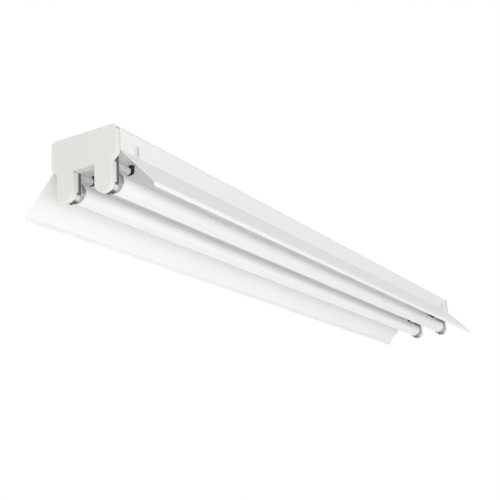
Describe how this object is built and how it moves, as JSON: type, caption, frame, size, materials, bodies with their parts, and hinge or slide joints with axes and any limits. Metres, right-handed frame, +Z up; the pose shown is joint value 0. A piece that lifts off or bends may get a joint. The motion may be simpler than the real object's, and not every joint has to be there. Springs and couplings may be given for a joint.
{
  "type": "led tube light fixture",
  "caption": "Long white ceiling fixture: a steel channel with a winged reflector and end plates whose lampholders hold parallel frosted LED tubes that twist to lock.",
  "frame": {"origin": "centre of the channel's top face, where the fixture meets the ceiling", "axes": "+Z up into the ceiling, Y along the tubes with the front end at -Y, X across"},
  "size_m": [0.1954, 1.2334, 0.0888],
  "materials": {
    "white_steel": "white powder coat, satin",
    "reflector_white": "high-reflectance white enamel",
    "lampholder_dark": "dark moulded plastic",
    "rotor_white": "moulded white plastic",
    "contact_brass": "plain",
    "sleeve_grey": "light grey sleeve",
    "boot_black": "black moulded rubber",
    "cap_aluminium": "drawn, satin",
    "pin_base_white": "insulating disc",
    "pin_brass": "plain",
    "diffuser_frosted": "frosted polycarbonate",
    "spine_aluminium": "extruded",
    "board_white": "white solder mask",
    "led_yellow": "phosphor",
    "driver_green": "circuit board",
    "lead_black": "black wire insulation",
    "lead_white": "white wire insulation",
    "nylon_white": "nylon",
    "bushing_black": "nylon",
    "terminal_cream": "moulded",
    "screw_steel": "zinc plated",
    "screw_white": "white head",
    "earth_green": "green head"
  },
  "bodies": {
    "housing": {"cable_bushing": "bushing_black", "channel": "white_steel", "earth_screw": "earth_green", "end_plate_back": "white_steel", "end_plate_front": "white_steel", "end_plate_screws": "screw_steel", "lampholder_body_left_back": "lampholder_dark", "lampholder_body_left_front": "lampholder_dark", "lampholder_body_right_back": "lampholder_dark", "lampholder_body_right_front": "lampholder_dark", "lampholder_contacts_left_back": "contact_brass", "lampholder_contacts_left_front": "contact_brass", "lampholder_contacts_right_back": "contact_brass", "lampholder_contacts_right_front": "contact_brass", "lampholder_cover_left_back": "lampholder_dark", "lampholder_cover_left_front": "lampholder_dark", "lampholder_cover_right_back": "lampholder_dark", "lampholder_cover_right_front": "lampholder_dark", "lead_boot_left_back": "boot_black", "lead_boot_left_front": "boot_black", "lead_boot_right_back": "boot_black", "lead_boot_right_front": "boot_black", "lead_sleeve_left_back": "sleeve_grey", "lead_sleeve_left_front": "sleeve_grey", "lead_sleeve_right_back": "sleeve_grey", "lead_sleeve_right_front": "sleeve_grey", "live_leads": "lead_black", "neutral_leads": "lead_white", "reflector": "reflector_white", "reflector_screws": "screw_white", "terminal_block": "terminal_cream", "terminal_screws": "screw_steel", "wire_clips": "nylon_white"},
    "left_tube": {"tube_diffuser_left": "diffuser_frosted", "tube_spine_left": "spine_aluminium", "tube_led_board_left": "board_white", "tube_leds_left": "led_yellow", "tube_driver_left": "driver_green", "tube_cap_left_front": "cap_aluminium", "tube_pin_base_left_front": "pin_base_white", "tube_pins_left_front": "pin_brass", "lampholder_rotor_left_front": "rotor_white", "tube_cap_left_back": "cap_aluminium", "tube_pin_base_left_back": "pin_base_white", "tube_pins_left_back": "pin_brass", "lampholder_rotor_left_back": "rotor_white"},
    "right_tube": {"tube_diffuser_right": "diffuser_frosted", "tube_spine_right": "spine_aluminium", "tube_led_board_right": "board_white", "tube_leds_right": "led_yellow", "tube_driver_right": "driver_green", "tube_cap_right_front": "cap_aluminium", "tube_pin_base_right_front": "pin_base_white", "tube_pins_right_front": "pin_brass", "lampholder_rotor_right_front": "rotor_white", "tube_cap_right_back": "cap_aluminium", "tube_pin_base_right_back": "pin_base_white", "tube_pins_right_back": "pin_brass", "lampholder_rotor_right_back": "rotor_white"}
  },
  "joints": [
    {"name": "left_tube_turn", "type": "hinge", "parent": "housing", "child": "left_tube", "pos_m": [-0.029, 0, -0.0648], "axis": [0, 1, 0], "range_deg": [0, 90]},
    {"name": "right_tube_turn", "type": "hinge", "parent": "housing", "child": "right_tube", "pos_m": [0.029, 0, -0.0648], "axis": [0, 1, 0], "range_deg": [0, 90]}
  ]
}
